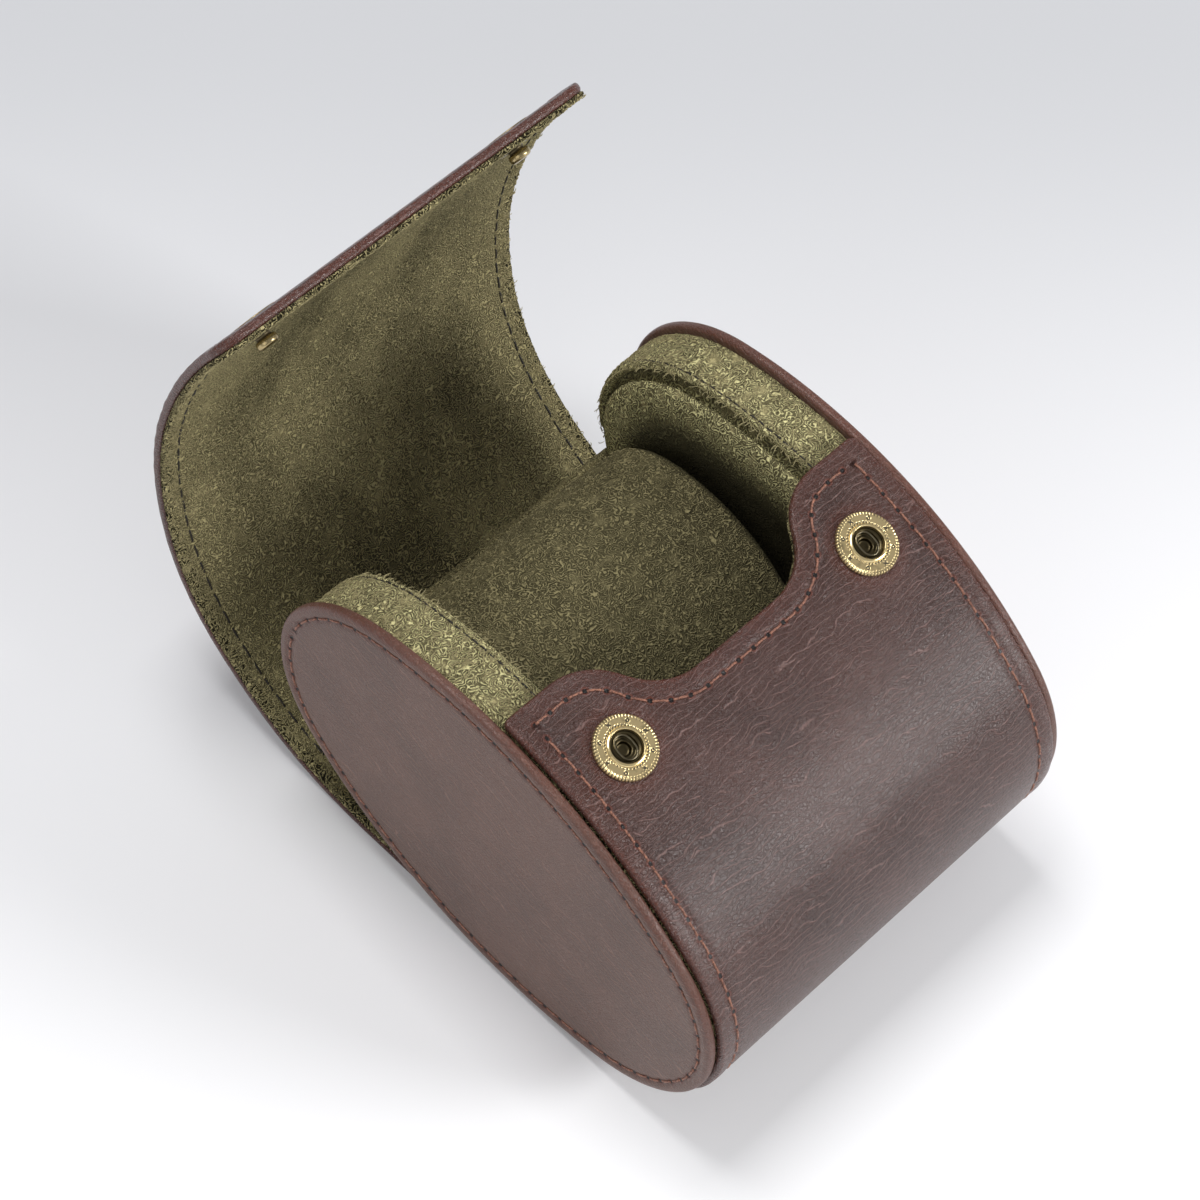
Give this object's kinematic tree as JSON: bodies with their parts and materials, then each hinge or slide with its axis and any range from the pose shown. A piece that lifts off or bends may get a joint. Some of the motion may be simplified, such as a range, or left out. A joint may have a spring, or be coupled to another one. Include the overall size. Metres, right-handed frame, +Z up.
{
  "type": "watch travel case",
  "caption": "Oval leather travel case for one watch, with padded suede end walls, a curved flap lid closed by two press snaps, and a removable cushion.",
  "frame": {"origin": "on the ground, under the middle of the bounding box of the open case", "axes": "+X along the case from its left to its right end wall, +Z up, the front with the snap sockets faces -Y and the open flap stands at +Y"},
  "size_m": [0.0956, 0.1494, 0.1104],
  "materials": {
    "leather": "satin, lightly creased",
    "disc_leather": "satin",
    "suede": "napped suede",
    "board": "matt",
    "foam": "open foam",
    "brass": "aged",
    "spring_wire": "bright"
  },
  "bodies": {
    "case": {"left_end_leather": "disc_leather", "right_end_leather": "disc_leather", "left_end_board": "board", "right_end_board": "board", "left_rim_band": "suede", "right_rim_band": "suede", "left_wall_pad": "suede", "right_wall_pad": "suede", "body_leather": "leather", "body_lining": "suede", "body_board": "board", "floor_pad": "suede", "left_socket_ring": "brass", "right_socket_ring": "brass", "left_socket_cup": "brass", "right_socket_cup": "brass", "left_socket_spring": "spring_wire", "right_socket_spring": "spring_wire", "left_socket_washer": "brass", "right_socket_washer": "brass"},
    "flap_1": {"flap_1_leather": "leather", "flap_1_lining": "suede"},
    "flap_2": {"flap_2_leather": "leather", "flap_2_lining": "suede"},
    "flap_3": {"flap_3_leather": "leather", "flap_3_lining": "suede"},
    "flap_4": {"flap_4_leather": "leather", "flap_4_lining": "suede"},
    "flap_5": {"flap_5_leather": "leather", "flap_5_lining": "suede"},
    "flap_tip": {"tip_leather": "leather", "tip_lining": "suede", "left_stud": "brass", "right_stud": "brass", "left_cap": "brass", "right_cap": "brass"},
    "cushion": {"cushion_core": "foam", "cushion_sleeve": "suede", "cushion_left_end": "suede", "cushion_right_end": "suede"}
  },
  "joints": [
    {"name": "flap_bend_1", "type": "hinge", "parent": "case", "child": "flap_1", "pos_m": [0, -0.01126, 0.0028], "axis": [1, 0, 0], "range_deg": [0, 20.56]},
    {"name": "flap_bend_2", "type": "hinge", "parent": "flap_1", "child": "flap_2", "pos_m": [0, 0.01443, 0.0028], "axis": [1, 0, 0], "range_deg": [0, 6.59]},
    {"name": "flap_bend_3", "type": "hinge", "parent": "flap_2", "child": "flap_3", "pos_m": [0, 0.04164, 0.00958], "axis": [1, 0, 0], "range_deg": [0, 14.8]},
    {"name": "flap_bend_4", "type": "hinge", "parent": "flap_3", "child": "flap_4", "pos_m": [0, 0.05451, 0.01837], "axis": [1, 0, 0], "range_deg": [0, 16.81]},
    {"name": "flap_bend_5", "type": "hinge", "parent": "flap_4", "child": "flap_5", "pos_m": [0, 0.0678, 0.03778], "axis": [1, 0, 0], "range_deg": [0, 14.72]},
    {"name": "snap_press", "type": "hinge", "parent": "flap_5", "child": "flap_tip", "pos_m": [0, 0.07078, 0.07357], "axis": [1, 0, 0], "range_deg": [0, 8.43], "stiffness_Nm_per_rad": 0.15},
    {"name": "cushion_lift", "type": "slide", "parent": "case", "child": "cushion", "axis": [0, 0.3371, 0.9415], "range_m": [0, 0.074]}
  ],
  "couplings": [
    {"joint": "flap_bend_2", "follows": "flap_bend_1", "ratio": 0.31978},
    {"joint": "flap_bend_3", "follows": "flap_bend_1", "ratio": 0.71938},
    {"joint": "flap_bend_4", "follows": "flap_bend_1", "ratio": 0.81683},
    {"joint": "flap_bend_5", "follows": "flap_bend_1", "ratio": 0.71513}
  ]
}
